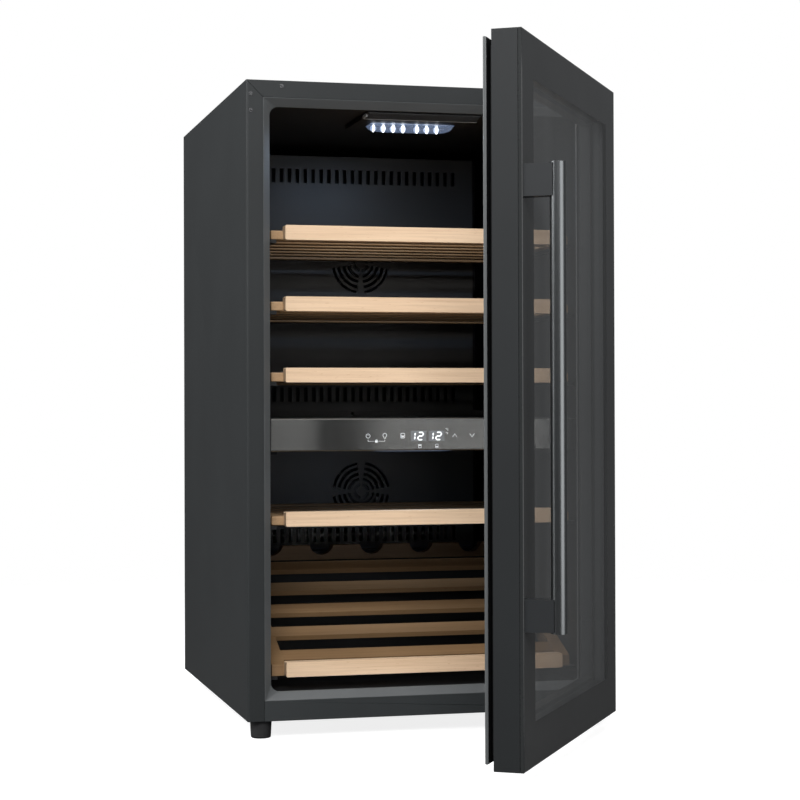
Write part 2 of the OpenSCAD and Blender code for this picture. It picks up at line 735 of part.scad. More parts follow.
module hinge_pins() cabinet() color(steel) translate([hinge_x, hinge_y, 0]) {
    translate([0, 0, top_z - 18]) cylinder(h = 18, r = pin_r);
    translate([0, 0, door_z - 0.5 - arm_t]) cylinder(h = 18, r = pin_r);
}

module flange_screws() cabinet() color(black) for (s = concat(hinge_screws, spare_screws)) {
    rod_y(s[0], s[1], screw_head_r, s[2] - screw_head_h, s[2]);
    rod_y(s[0], s[1], screw_r, s[2], screw_l);
}

// ---------- door ----------

// Rectangle on the door, set in from its edges, carried from y0 to y1
module door_slab(inset, y0, y1, r = 0) upright(y0, y1) {
    x = door_w / 2 - inset;
    if (r > 0) round_rect(-x, x, door_z + inset, door_top - inset, r);
    else translate([-x, door_z + inset]) square([2 * x, door_h - 2 * inset]);
}

// Ring around the door between two insets
module door_ring(outer, inner, y0, y1, r = 0) difference() {
    door_slab(outer, y0, y1, r);
    door_slab(inner, y0 - 1, y1 + 1, max(r - 2, 0));
}

module door_glass_outer() door() color([0.1, 0.11, 0.12, 0.6]) difference() {
    door_slab(0, glass_front, glass_back);
    for (z = standoff_z) rod_y(bar_x, z + standoff_h / 2, 3.5, glass_front - 1, glass_back + 1);
}

module door_spacer() door() color(black)
    door_ring(37, 47, glass_back, glass_back + 12);

module door_glass_inner() door() color([0.5, 0.55, 0.6, 0.4])
    door_slab(37, glass_back + 12, glass_back + 16);

// Frame with a pocket for the glass unit, a groove for the gasket and bores for the hinge bushes
module door_frame() door() color(black) difference() {
    door_slab(0, glass_back, door_back);
    door_slab(border, glass_back - 1, door_back + 1);
    door_slab(37, glass_back - 1, glass_back + 16);
    door_ring(14.5, 19.5, door_back - 5, door_back + 1);
    translate([hinge_x, hinge_y, door_top - 16]) cylinder(h = 17, r = bush_r);
    translate([hinge_x, hinge_y, door_z - 1]) cylinder(h = 17, r = bush_r);
    for (z = standoff_z) {
        rod_y(bar_x, z + standoff_h / 2, 2.6, glass_back - 1, door_back);
        rod_y(bar_x, z + standoff_h / 2, 5, glass_back + 8, door_back + 1);
    }
}

// Magnetic gasket: a root in the frame's groove, a neck and a wide lip with a pocket for the magnets
module door_gasket() door() color([0.1, 0.1, 0.11]) difference() {
    union() {
        door_ring(14.8, 19.2, door_back - 4.8, door_back + e);
        door_ring(12.5, 21.5, door_back, door_back + 4);
        door_ring(lip_inset, 25, door_back + 3.8, lip_y, 3);
    }
    door_ring(12.8, 17.2, lip_y - 3.7, lip_y - 0.9);
}

module gasket_magnets() door() color(steel) {
    x = door_w / 2 - 13;
    for (z = [door_z + 13, door_top - 17]) span([-x + 5, lip_y - 3.5, z], [x - 5, lip_y - 1.1, z + 4]);
    for (s = [-x, x - 4]) span([s, lip_y - 3.5, door_z + 13], [s + 4, lip_y - 1.1, door_top - 13]);
}

// Plastic bushes in the door's ends, in which it turns on the hinge pins
module hinge_bushes() door() color("ivory") translate([hinge_x, hinge_y, 0])
    for (z = [door_top - 15, door_z]) translate([0, 0, z]) difference() {
        cylinder(h = 15, r = bush_r);
        translate([0, 0, -1]) cylinder(h = 17, r = pin_bore_r);
    }

module handle_bar() door() color(charcoal)
    translate([bar_x, bar_y, bar_z - bar_l / 2]) cylinder(h = bar_l, r = bar_d / 2);

// Two stand-offs, hollowed at the front to seat the round bar
module handle_standoffs() door() color(charcoal) for (z = standoff_z) difference() {
    span([bar_x - bar_d / 2, bar_y + 4, z], [bar_x + bar_d / 2, glass_front, z + standoff_h]);
    translate([bar_x, bar_y, z - 1]) cylinder(h = standoff_h + 2, r = bar_d / 2);
    rod_y(bar_x, z + standoff_h / 2, 2.5, glass_front - 20, glass_front + 1);
}

module handle_screws() door() color(steel) for (z = standoff_z) {
    rod_y(bar_x, z + standoff_h / 2, 2.5, glass_front - 18, glass_back + 8);
    rod_y(bar_x, z + standoff_h / 2, 4.5, glass_back + 8, glass_back + 11);
}

side_panel_left();
side_panel_right();
top_panel();
back_panel();
bottom_rail();
base_pan();
machine_bulkhead();
rear_cover();
insulation();
inner_liner();
liner_trim();
divider();
control_panel();
control_board();
lamp_housing();
lamp_boards();
lamp_lenses();
evaporator_cover_upper();
evaporator_cover_lower();
evaporators();
fan_frames();
fan_rotor_upper();
fan_rotor_lower();
fan_rotor_condenser();
temperature_sensors();
shelf_1_front();
shelf_1_frame();
shelf_2_front();
shelf_2_frame();
shelf_3_front();
shelf_3_frame();
shelf_4_front();
shelf_4_frame();
display_shelf_front();
display_shelf_frame();
compressor();
compressor_mounts();
starter_box();
condenser();
filter_dryer();
refrigerant_pipes();
drip_tray();
mains_inlet();
foot_front_left();
foot_front_right();
rear_feet();
hinge_bracket_upper();
hinge_bracket_lower();
hinge_pins();
flange_screws();
door_glass_outer();
door_glass_inner();
door_spacer();
door_frame();
door_gasket();
gasket_magnets();
hinge_bushes();
handle_bar();
handle_standoffs();
handle_screws();
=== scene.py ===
"""Looks of a two-zone wine cooler with its glass door open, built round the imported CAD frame."""

import json
import math

import bmesh
import bpy
from mathutils import Matrix, Vector


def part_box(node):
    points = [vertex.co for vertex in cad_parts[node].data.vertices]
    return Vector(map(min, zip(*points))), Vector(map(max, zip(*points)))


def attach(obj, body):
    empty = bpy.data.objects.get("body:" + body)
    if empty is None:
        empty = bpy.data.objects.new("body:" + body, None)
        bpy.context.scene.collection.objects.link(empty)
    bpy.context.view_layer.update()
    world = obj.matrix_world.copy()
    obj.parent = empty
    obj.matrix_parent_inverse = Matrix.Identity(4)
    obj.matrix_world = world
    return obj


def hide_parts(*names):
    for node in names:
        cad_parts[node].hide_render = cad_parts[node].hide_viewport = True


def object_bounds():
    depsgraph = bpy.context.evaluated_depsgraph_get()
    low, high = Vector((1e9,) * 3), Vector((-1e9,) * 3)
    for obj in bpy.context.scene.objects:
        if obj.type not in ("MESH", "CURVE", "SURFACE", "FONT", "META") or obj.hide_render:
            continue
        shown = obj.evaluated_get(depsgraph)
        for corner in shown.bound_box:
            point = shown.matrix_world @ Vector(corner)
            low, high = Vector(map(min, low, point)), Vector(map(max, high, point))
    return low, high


# ---------- the frame, and places worked out from it ----------

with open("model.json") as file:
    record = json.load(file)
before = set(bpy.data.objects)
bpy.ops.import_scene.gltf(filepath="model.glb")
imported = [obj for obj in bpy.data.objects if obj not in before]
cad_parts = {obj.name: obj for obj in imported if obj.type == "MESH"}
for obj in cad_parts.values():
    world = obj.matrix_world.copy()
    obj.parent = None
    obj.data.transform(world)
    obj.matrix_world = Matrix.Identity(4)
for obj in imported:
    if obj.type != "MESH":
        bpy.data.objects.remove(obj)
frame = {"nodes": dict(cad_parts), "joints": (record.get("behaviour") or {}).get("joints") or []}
CAD_BOX = [list(corner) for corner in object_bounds()]
NODES = frame["nodes"]
MM = 0.001

HINGE = next(j for j in frame["joints"] if j["name"] == "door_hinge")
HINGE_AT = Vector(HINGE["pos_m"])
OPEN_ANGLE = -math.radians(HINGE["range_deg"][0])
TURN = Matrix.Rotation(OPEN_ANGLE, 4, "Z")
DOOR = Matrix.Translation(HINGE_AT) @ TURN @ Matrix.Translation(-HINGE_AT)
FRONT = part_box("top_panel")[0].y
SHELVES = ["shelf_1", "shelf_2", "shelf_3", "shelf_4"]


def spot(x, y, z):
    """A point given in millimetres: across, behind the cabinet's front face, above the floor."""
    return Vector((x * MM, FRONT + y * MM, z * MM))


def closed_box(node):
    """A door node's lowest and highest corners with the door shut."""
    shut = [DOOR.inverted() @ v.co for v in NODES[node].data.vertices]
    return (Vector(min(p[i] for p in shut) for i in range(3)),
            Vector(max(p[i] for p in shut) for i in range(3)))


def clusters(node, reach, axes=(0, 2)):
    """Boxes of a node's separate solids, told apart by their distance along the given axes."""
    found = []
    for v in NODES[node].data.vertices:
        for box in found:
            if all(box[0][a] - reach < v.co[a] < box[1][a] + reach for a in axes):
                for a in range(3):
                    box[0][a] = min(box[0][a], v.co[a])
                    box[1][a] = max(box[1][a], v.co[a])
                break
        else:
            found.append((v.co.copy(), v.co.copy()))
    return found


# ---------- shader helpers ----------


class Shader:
    """A Principled material and the few node recipes that the finishes share."""

    def __init__(self, name, color, rough, metal=0.0, **sockets):
        self.material = bpy.data.materials.new(name)
        self.material.use_nodes = True
        self.tree = self.material.node_tree
        self.bsdf = self.tree.nodes["Principled BSDF"]
        self.put(self.bsdf, "Base Color", (*color, 1))
        self.put(self.bsdf, "Roughness", rough)
        self.put(self.bsdf, "Metallic", metal)
        for socket, value in sockets.items():
            self.put(self.bsdf, socket.replace("_", " "), value)

    def put(self, node, socket, value):
        if isinstance(value, bpy.types.NodeSocket):
            self.tree.links.new(value, node.inputs[socket])
        else:
            node.inputs[socket].default_value = value

    def node(self, kind, props=None, **inputs):
        n = self.tree.nodes.new(kind)
        for key, value in (props or {}).items():
            setattr(n, key, value)
        for socket, value in inputs.items():
            self.put(n, socket.replace("_", " "), value)
        return n

    def coords(self, scale=(1, 1, 1), turn=0.0):
        """Object coordinates in metres, turned about the vertical, then stretched."""
        source = self.node("ShaderNodeTexCoord").outputs["Object"]
        turned = self.node("ShaderNodeMapping", Vector=source, Rotation=(0, 0, turn))
        return self.node("ShaderNodeMapping", Vector=turned.outputs[0], Scale=scale).outputs[0]

    def noise(self, vector, scale, detail=3.0, rough=0.5):
        return self.node("ShaderNodeTexNoise", Vector=vector, Scale=scale, Detail=detail,
                         Roughness=rough).outputs["Fac"]

    def ramp(self, fac, stops):
        n = self.node("ShaderNodeValToRGB", Fac=fac)
        elements = n.color_ramp.elements
        while len(elements) < len(stops):
            elements.new(0.5)
        for element, (place, color) in zip(elements, stops):
            element.position, element.color = place, (*color, 1)
        return n.outputs["Color"]

    def times(self, first, second, factor):
        """Two colours multiplied, as much as the factor says."""
        n = self.node("ShaderNodeMix", {"data_type": "RGBA", "blend_type": "MULTIPLY"}, Factor=factor)
        color_a, color_b, result = n.inputs[6], n.inputs[7], n.outputs[2]
        self.tree.links.new(first, color_a)
        self.tree.links.new(second, color_b)
        return result

    def between(self, fac, low, high):
        return self.node("ShaderNodeMapRange", Value=fac, To_Min=low, To_Max=high).outputs["Result"]

    def bump(self, height, strength, depth):
        previous = self.bsdf.inputs["Normal"]
        n = self.node("ShaderNodeBump", Height=height, Strength=strength, Distance=depth)
        if previous.is_linked:
            self.put(n, "Normal", previous.links[0].from_socket)
        self.put(self.bsdf, "Normal", n.outputs["Normal"])


def shade(color, factor):
    return tuple(c * factor for c in color)


def textured(name, color, rough, grain, depth, metal=0.0, spread=0.06, **sockets):
    """Paint or moulded plastic: a fine grain in relief, and slightly uneven colour and gloss."""
    s = Shader(name, color, rough, metal, **sockets)
    broad = s.noise(s.coords(), 9.0, 2.0)
    darker, lighter = shade(color, 1 - spread), shade(color, 1 + spread)
    s.put(s.bsdf, "Base Color", s.ramp(broad, [(0.3, darker), (0.7, lighter)]))
    fine = s.noise(s.coords(), grain, 2.0)
    s.put(s.bsdf, "Roughness", s.between(fine, rough - 0.06, rough + 0.06))
    s.bump(fine, 0.5, depth)
    return s.material


def beech(name, along, pale, dark, turn=0.0):
    """Planed beech with its grain along one axis: soft bands, fine pores and short flecks."""
    s = Shader(name, pale, 0.42, Specular_IOR_Level=0.3)
    stretch = lambda across, length: tuple(length if a == along else across for a in range(3))
    bands = s.noise(s.coords(stretch(26, 1.6), turn), 1.0, 3.0)
    fibres = s.noise(s.coords(stretch(420, 9), turn), 1.0, 4.0, 0.65)
    flecks = s.noise(s.coords(stretch(900, 110), turn), 1.0, 1.0)
    base = s.ramp(bands, [(0.32, dark), (0.62, pale)])
    fibre = s.ramp(fibres, [(0.3, (0.86, 0.83, 0.8)), (0.6, (1, 1, 1))])
    fleck = s.ramp(flecks, [(0.66, (1, 1, 1)), (0.74, (0.8, 0.7, 0.62))])
    s.put(s.bsdf, "Base Color", s.times(s.times(base, fibre, 1.0), fleck, 0.7))
    s.put(s.bsdf, "Roughness", s.between(fibres, 0.36, 0.52))
    s.bump(fibres, 0.25, 0.00015)
    return s.material


def brushed(name, color, rough, turn=0.0):
    """Metal brushed along its length, here the vertical."""
    s = Shader(name, color, rough, 1.0, Anisotropic=0.4)
    lines = s.noise(s.coords((2500, 2500, 14), turn), 1.0, 3.0, 0.6)
    s.put(s.bsdf, "Roughness", s.between(lines, rough - 0.04, rough + 0.05))
    s.bump(lines, 0.05, 0.00003)
    return s.material


def glass_with_painted_reflection(name, color, clear):
    """Smoked pane: lets the inside show dimly under an even grey veil with faint upright streaks. The veil is
    a painted reflection of the bright room, carried in the base colour.
    """
    s = Shader(name, color, 0.04, Alpha=1 - clear, Specular_IOR_Level=0.2)
    streaks = s.noise(s.coords((34, 34, 0.35), -OPEN_ANGLE), 1.0, 2.0, 0.4)
    # the grey base colour, with its streaks, is the painted reflection that veils the window
    s.put(s.bsdf, "Base Color", s.ramp(streaks, [(0.35, shade(color, 0.88)), (0.7, shade(color, 1.14))]))
    return s.material


def glowing(name, color, strength):
    """A pale diffuser that gives off light of its own."""
    s = Shader(name, (0.8, 0.8, 0.8), 0.4, Emission_Color=(*color, 1), Emission_Strength=strength)
    return s.material


# ---------- finishes ----------

CHARCOAL = (0.0195, 0.0218, 0.0228)
PAINT = textured("powder_coat", CHARCOAL, 0.52, 1500, 0.00012, Specular_IOR_Level=0.24)
# the bottom rail's paint is a lighter copy of the cabinet's powder coat: painted light
RAIL_PAINTED_LIGHT = textured("rail_coat_painted_light", shade(CHARCOAL, 1.5), 0.5, 1500, 0.00012, Specular_IOR_Level=0.3)
TRIM = textured("trim_plastic", (0.085, 0.09, 0.092), 0.4, 1900, 0.00008)
# divider plastic made light grey to stand in for light falling from above: painted light
LEDGE_PAINTED_LIGHT = textured("divider_plastic_painted_light", (0.15, 0.148, 0.145), 0.34, 1300, 0.0001, Specular_IOR_Level=0.4)
LINER = textured("liner_plastic", (0.0105, 0.0105, 0.011), 0.42, 1300, 0.0001, Specular_IOR_Level=0.25)
COVER = textured("cover_plastic", (0.06, 0.0585, 0.056), 0.36, 1300, 0.0001, Specular_IOR_Level=0.3)
# lamp housing plastics: pale lip and end cap as a painted highlight, ribs lighter than the housing as painted
# light
LAMP_PAINTED_HIGHLIGHT = textured("lamp_plastic", (0.55, 0.55, 0.54), 0.35, 1500, 0.00005)
LAMP_RIB_PAINTED_LIGHT = textured("lamp_rib_painted_light", (0.07, 0.072, 0.074), 0.35, 1500, 0.00005)
DOOR_PLASTIC = textured("door_plastic", (0.012, 0.0135, 0.0145), 0.45, 1700, 0.00008, Specular_IOR_Level=0.35)
RUBBER = textured("rubber", (0.085, 0.09, 0.092), 0.38, 900, 0.00006)
# near-black copy of the gasket rubber: painted shade on the neck and the lip's back
PAINTED_SHADE_RUBBER = textured("gasket_painted_shade", (0.006, 0.006, 0.0065), 0.6, 900, 0.00006, Specular_IOR_Level=0.15)
FOOT_RUBBER = textured("foot_rubber", (0.012, 0.012, 0.013), 0.6, 1200, 0.0001)
MACHINE = textured("machine_paint", (0.012, 0.012, 0.013), 0.35, 700, 0.0001, Specular_IOR_Level=0.5)
ZINC = textured("zinc_sheet", (0.42, 0.43, 0.45), 0.42, 160, 0.00004, metal=0.9, spread=0.14)
ALUMINIUM = textured("aluminium_fins", (0.72, 0.73, 0.75), 0.35, 500, 0.00005, metal=1.0)
COPPER = textured("copper", (0.78, 0.36, 0.2), 0.32, 260, 0.00004, metal=1.0, spread=0.15)
FOAM = textured("foam", (0.83, 0.72, 0.42), 0.9, 420, 0.0006)
BOARD = textured("circuit_board", (0.02, 0.14, 0.05), 0.35, 900, 0.00004)
WHITE_PLASTIC = textured("white_plastic", (0.75, 0.75, 0.72), 0.35, 1500, 0.00003)
BUSH = textured("bush_plastic", (0.72, 0.68, 0.56), 0.4, 1400, 0.00003)
BLACK_METAL = textured("black_screws", (0.17, 0.17, 0.175), 0.2, 2200, 0.00002, metal=1.0)
PANEL = textured("control_gloss", (0.16, 0.16, 0.155), 0.2, 2600, 0.00001, metal=0.93, Specular_IOR_Level=0.5)
STANDOFF = textured("standoff_paint", (0.013, 0.0145, 0.016), 0.42, 1500, 0.00006, Specular_IOR_Level=0.45)
HANDLE = brushed("handle_steel", (0.16, 0.168, 0.172), 0.27, -OPEN_ANGLE)
PALE, DARK = (0.84, 0.625, 0.43), (0.76, 0.53, 0.345)
BEECH_X = beech("beech_across", 0, PALE, DARK)
# rail beech: partly a darker, warmer tone of its own, partly painted shade
BEECH_Y_PART_PAINTED_SHADE = beech("beech_along_part_painted_shade", 1, (0.46, 0.3, 0.165), (0.37, 0.23, 0.12))
# the slats' beech, darkened far below the fronts' beech: painted shade
SLAT_PAINTED_SHADE = beech("beech_slats_painted_shade", 0, (0.27, 0.165, 0.083), (0.21, 0.127, 0.062))
BORDER = textured("printed_border", (0.027, 0.0282, 0.029), 0.16, 40, 0.00001, Specular_IOR_Level=0.1)
GLASS_EDGE = textured("ground_edge", (0.017, 0.0185, 0.019), 0.28, 1200, 0.00004)
WINDOW = glass_with_painted_reflection("smoked_window_painted_reflection", (0.14, 0.1445, 0.147), 0.68)
INNER_GLASS = glass_with_painted_reflection("inner_window_painted_reflection", (0.05, 0.052, 0.053), 0.94)
LENS = Shader("lamp_lens", (0.62, 0.75, 1.0), 0.1, Alpha=0.3, Emission_Color=(0.36, 0.5, 0.8, 1),
              Emission_Strength=0.3).material
LED = glowing("led_white", (0.9, 0.95, 1.0), 3.0)
LED_SPILL = glowing("led_spill", (0.5, 0.66, 1.0), 0.55)
DIGIT = glowing("digit_light", (0.93, 0.97, 1.0), 1.1)
DIGIT_GLOW = Shader("digit_window", (0.09, 0.092, 0.096), 0.25, Emission_Color=(0.9, 0.95, 1.0, 1),
                    Emission_Strength=0.09).material
SYMBOL = glowing("symbol_light", (0.9, 0.94, 1.0), 0.32)

# ---------- mesh helpers ----------

SMOOTH_ANGLE, BEVEL_ANGLE = math.radians(35), math.radians(30)
SHORTEST_FOLD = 3


def show(name, mesh, materials, body, place=None):
    """Makes a piece from a mesh, smooth where its faces meet gently, riding on a CAD body."""
    for material in materials if isinstance(materials, (list, tuple)) else [materials]:
        mesh.materials.append(material)
    mesh.shade_smooth()
    mesh.set_sharp_from_angle(angle=SMOOTH_ANGLE)
    piece = bpy.data.objects.new(name, mesh)
    bpy.context.scene.collection.objects.link(piece)
    if place is not None:
        piece.matrix_world = place
    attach(piece, body)
    return piece


def to_mesh(name, bm):
    bmesh.ops.recalc_face_normals(bm, faces=bm.faces)
    mesh = bpy.data.meshes.new(name)
    bm.to_mesh(mesh)
    bm.free()
    return mesh


def add_box(bm, low, high, index=0):
    made = bmesh.ops.create_cube(bm, size=1.0)["verts"]
    for v in made:
        v.co = Vector(low[i] if v.co[i] < 0 else high[i] for i in range(3))
    for face in {f for v in made for f in v.link_faces}:
        face.material_index = index


def bevelled(piece, width, segments=2, weld=False):
    """Rounds a piece's sharp edges. A CAD node's split faces are welded first."""
    if weld:
        piece.modifiers.new("weld", "WELD").merge_threshold = 1e-6
    m = piece.modifiers.new("soft_edges", "BEVEL")
    m.width, m.segments, m.limit_method, m.angle_limit = width, segments, "ANGLE", BEVEL_ANGLE
    m.harden_normals = True
    m.use_clamp_overlap = True


def weigh_long_edges(mesh, shortest):
    """Bevel weight 1 on long sharp edges, so that small holes, whose edges stay sharp, don't limit it."""
    def ends(edge_vertices):
        """Where an edge lies, in hundredths of a millimetre: the same for both sides of a split edge."""
        return frozenset(tuple(round(c * 1e5) for c in mesh.vertices[i].co) for i in edge_vertices)

    normals = {}
    for face in mesh.polygons:
        for edge_vertices in face.edge_keys:
            normals.setdefault(ends(edge_vertices), []).append(face.normal)
    weights = mesh.attributes.new("bevel_weight_edge", "FLOAT", "EDGE")
    for edge in mesh.edges:
        a, b = (mesh.vertices[i].co for i in edge.vertices)
        first, *others = normals[ends(edge.vertices)]
        sharp = any(first.dot(n) < 0.8 for n in others)
        long_enough = (a - b).length > shortest
        weights.data[edge.index].value = float(sharp and long_enough)
        edge.use_edge_sharp = sharp and not long_enough


def dress(node, material, bevel=0.0):
    """Gives a CAD node its finish, and softens its sharp edges."""
    piece = NODES[node]
    mesh = piece.data
    mesh.materials.clear()
    mesh.materials.append(material)
    if "custom_normal" in mesh.attributes:
        mesh.attributes.remove(mesh.attributes["custom_normal"])
    mesh.shade_smooth()
    if bevel:
        bevelled(piece, bevel, weld=True)
        if material == PAINT:
            weigh_long_edges(mesh, SHORTEST_FOLD * MM)
            piece.modifiers["soft_edges"].limit_method = "WEIGHT"


def loft(bm, rings, caps=True, index=0):
    """Skins a list of closed rings of points that have the same number of points each."""
    rows = [[bm.verts.new(p) for p in ring] for ring in rings]
    count = len(rows[0])
    for a, b in zip(rows, rows[1:]):
        for i in range(count):
            j = (i + 1) % count
            bm.faces.new((a[i], a[j], b[j], b[i])).material_index = index
    if caps:
        bm.faces.new(rows[0])
        bm.faces.new(reversed(rows[-1]))


def revolve(bm, profile, place, steps):
    """Turns (radius, height) points about Z, then places the result."""
    turns = [2 * math.pi * i / steps for i in range(steps)]
    loft(bm, [[place @ Vector((r * math.cos(t), r * math.sin(t), h)) for t in turns] for r, h in profile])


def frame_sweep(bm, low, high, profile, index=0):
    """Sweeps a closed profile of (inset, y) points round an upright rectangle with mitred corners."""
    corners = [(low.x, low.z, 1, 1), (high.x, low.z, -1, 1), (high.x, high.z, -1, -1), (low.x, high.z, 1, -1)]
    rings = [[Vector((x + sx * inset, y, z + sz * inset)) for inset, y in profile]
             for x, z, sx, sz in corners]
    loft(bm, rings + [rings[0]], caps=False, index=index)
    bmesh.ops.remove_doubles(bm, verts=bm.verts, dist=1e-7)


# ---------- CAD nodes that keep their shape ----------

FINISHES = {
    PAINT: [("side_panel_left", 0.6), ("side_panel_right", 0.6), ("top_panel", 0.6),
            ("hinge_bracket_upper", 0.6), ("hinge_bracket_lower", 0.6)],
    # bottom rail in the lighter, painted-light copy of the cabinet paint
    RAIL_PAINTED_LIGHT: [("bottom_rail", 0.4)],
    LINER: [("inner_liner", 0.0), ("lamp_housing", 0.4), ("drip_tray", 0.6)],
    LEDGE_PAINTED_LIGHT: [("divider", 0.5)],
    COVER: [("evaporator_cover_upper", 0.6), ("evaporator_cover_lower", 0.6)],
    PANEL: [("control_panel", 0.4)],
    BOARD: [("control_board", 0.0)],
    WHITE_PLASTIC: [("lamp_boards", 0.2), ("temperature_sensors", 0.8)],
    ALUMINIUM: [("evaporators", 0.0)],
    MACHINE: [("rear_cover", 0.2), ("fan_frames", 0.4), ("compressor", 0.0), ("condenser", 0.0)],
    DOOR_PLASTIC: [("fan_rotor_upper", 0.3), ("fan_rotor_lower", 0.3), ("fan_rotor_condenser", 0.3),
                   ("starter_box", 1.5), ("mains_inlet", 0.5), ("door_frame", 0.8), ("door_spacer", 0.0)],
    COPPER: [("filter_dryer", 1.0), ("refrigerant_pipes", 0.0)],
    ZINC: [("back_panel", 0.2), ("base_pan", 0.3), ("machine_bulkhead", 0.2), ("hinge_pins", 0.4),
           ("handle_screws", 0.3)],
    FOAM: [("insulation", 0.0)],
    FOOT_RUBBER: [("compressor_mounts", 0.6), ("foot_front_left", 0.5), ("foot_front_right", 0.5),
                  ("rear_feet", 1.0), ("gasket_magnets", 0.0)],
    BUSH: [("hinge_bushes", 0.4)],
    INNER_GLASS: [("door_glass_inner", 0.5)],
    HANDLE: [("handle_bar", 1.0)],
    STANDOFF: [("handle_standoffs", 0.7)],
    BEECH_X: [(f"{s}_front", 1.1) for s in SHELVES] + [("display_shelf_front", 1.1)],
    # the display shelf's frame takes the slats' painted-shade beech
    SLAT_PAINTED_SHADE: [("display_shelf_frame", 1.0)],
}
for finish, nodes in FINISHES.items():
    for node, bevel in nodes:
        dress(node, finish, bevel * MM)

# ---------- trim ring ----------

CAVITY_RADIUS = 11
TRIM_WIDTH, TRIM_LAND, TRIM_BEVEL = 10.5, 0.5, 12


def round_ring(low, high, inset, radius, y):
    """Points round an upright rectangle with rounded corners, at a depth in millimetres."""
    x0, x1, z0, z1 = low.x + inset * MM, high.x - inset * MM, low.z + inset * MM, high.z - inset * MM
    r = radius * MM
    middles = [(x1 - r, z1 - r, 0), (x0 + r, z1 - r, 90), (x0 + r, z0 + r, 180), (x1 - r, z0 + r, 270)]
    return [Vector((x + r * math.cos(math.radians(start + 7.5 * i)), FRONT + y * MM,
                    z + r * math.sin(math.radians(start + 7.5 * i))))
            for x, z, start in middles for i in range(13)]


def trim_ring():
    """Moulded ring: square where it meets the flange, sloping in to the cavity's rounded mouth."""
    low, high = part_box("liner_trim")
    depth, mouth = (high.y - FRONT) / MM, TRIM_WIDTH
    rings = [round_ring(low, high, *ring) for ring in (
        (0, 0.4, depth), (0, 0.4, 0.4), (0.3, 0.4, 0), (TRIM_LAND, 0.4, 0), (TRIM_LAND + 0.4, 0.5, 0.3),
        (mouth - 0.9, CAVITY_RADIUS + 0.9, TRIM_BEVEL - 0.5), (mouth - 0.2, CAVITY_RADIUS + 0.2, TRIM_BEVEL),
        (mouth, CAVITY_RADIUS, TRIM_BEVEL + 0.6), (mouth, CAVITY_RADIUS, depth))]
    bm = bmesh.new()
    loft(bm, rings + [rings[0]], caps=False)
    bmesh.ops.remove_doubles(bm, verts=bm.verts, dist=1e-7)
    piece = show("trim_moulding", to_mesh("trim_moulding", bm), TRIM, "cabinet")
    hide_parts("liner_trim")


trim_ring()

# ---------- shelves ----------

RAIL_W, FRONT_BOARD, BACK_BOARD = 18, 8, 14
SLAT_W, SLAT_PITCH, FIRST_SLAT, SLAT_COUNT = 22, 50, 75, 6
SLAT_LOW, SLAT_HIGH = 2, 10


def shelf_frame(shelf):
    """Side rails with their grain front to back, and rounded cross slats with theirs across. The slats' wood
    is darkened as painted shade, the rails' partly so.
    """
    low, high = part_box(f"{shelf}_frame")
    bm = bmesh.new()
    rail = RAIL_W * MM
    add_box(bm, low, (low.x + rail, high.y, high.z), 1)
    add_box(bm, (high.x - rail, low.y, low.z), high, 1)
    add_box(bm, (low.x + rail, low.y, low.z), (high.x - rail, low.y + FRONT_BOARD * MM, high.z))
    add_box(bm, (low.x + rail, high.y - BACK_BOARD * MM, low.z), (high.x - rail, high.y, high.z))
    for i in range(SLAT_COUNT):
        y = spot(0, FIRST_SLAT + SLAT_PITCH * i, 0).y
        add_box(bm, (low.x + rail, y, low.z + SLAT_LOW * MM),
                (high.x - rail, y + SLAT_W * MM, low.z + SLAT_HIGH * MM))
    piece = show(f"{shelf}_slats", to_mesh(shelf, bm), [SLAT_PAINTED_SHADE, BEECH_Y_PART_PAINTED_SHADE], shelf)
    bevelled(piece, 1.6 * MM, 3)
    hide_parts(f"{shelf}_frame")


for shelf in SHELVES:
    shelf_frame(shelf)

# ---------- screws ----------

HEAD_R, HEAD_H, SHANK = 2.6, 1.5, 4


def screw_mesh(radius, height, depth):
    """Domed screw head with a cross recess, pointing along -Y from its seat at y = 0."""
    bm = bmesh.new()
    forward = Matrix.Rotation(math.radians(90), 4, "X")
    dome = [(radius * math.sin(t), height * (0.35 + 0.65 * math.cos(t)))
            for t in (math.radians(a) for a in range(90, 11, -13))]
    stem = [(radius, height * 0.35), (radius, 0), (radius * 0.6, 0), (radius * 0.6, -depth)]
    revolve(bm, dome + [(1e-6, height)], forward, 28)
    revolve(bm, stem, forward, 28)
    bmesh.ops.remove_doubles(bm, verts=bm.verts, dist=1e-7)
    head = bpy.data.objects.new("screw", to_mesh("screw", bm))
    bm = bmesh.new()
    arm, half = radius * 0.62, radius * 0.13
    for x, z in ((arm, half), (half, arm)):
        add_box(bm, (-x, -height - MM, -z), (x, -height * 0.45, z))
    cutter = bpy.data.objects.new("cutter", to_mesh("cutter", bm))
    for o in (head, cutter):
        bpy.context.scene.collection.objects.link(o)
    cut = head.modifiers.new("recess", "BOOLEAN")
    cut.operation, cut.object, cut.solver = "DIFFERENCE", cutter, "EXACT"
    bpy.context.view_layer.update()
    mesh = bpy.data.meshes.new_from_object(head.evaluated_get(bpy.context.evaluated_depsgraph_get()))
    bpy.data.objects.remove(head)
    bpy.data.objects.remove(cutter)
    return mesh


